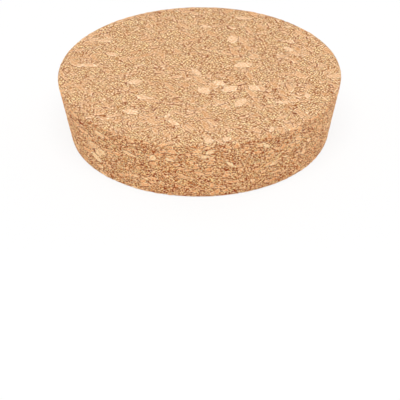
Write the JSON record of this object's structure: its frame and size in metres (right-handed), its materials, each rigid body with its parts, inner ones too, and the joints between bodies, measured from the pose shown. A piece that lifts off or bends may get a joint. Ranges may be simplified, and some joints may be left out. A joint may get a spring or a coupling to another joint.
{
  "type": "cork stopper",
  "caption": "Low round stopper of pressed cork granules, tapered so that it wedges into and closes the mouth of a wide jar or tub.",
  "frame": {"origin": "centre of the narrow face, which the stopper rests on", "axes": "+Z along the stopper's axis, from the narrow face towards the wide face; -Y is the side that faces the camera"},
  "size_m": [0.0996, 0.0996, 0.023],
  "materials": {
    "cork": "pressed and glued cork granules, sanded, uncoated, matt"
  },
  "bodies": {
    "root": {"stopper": "cork"}
  },
  "joints": []
}
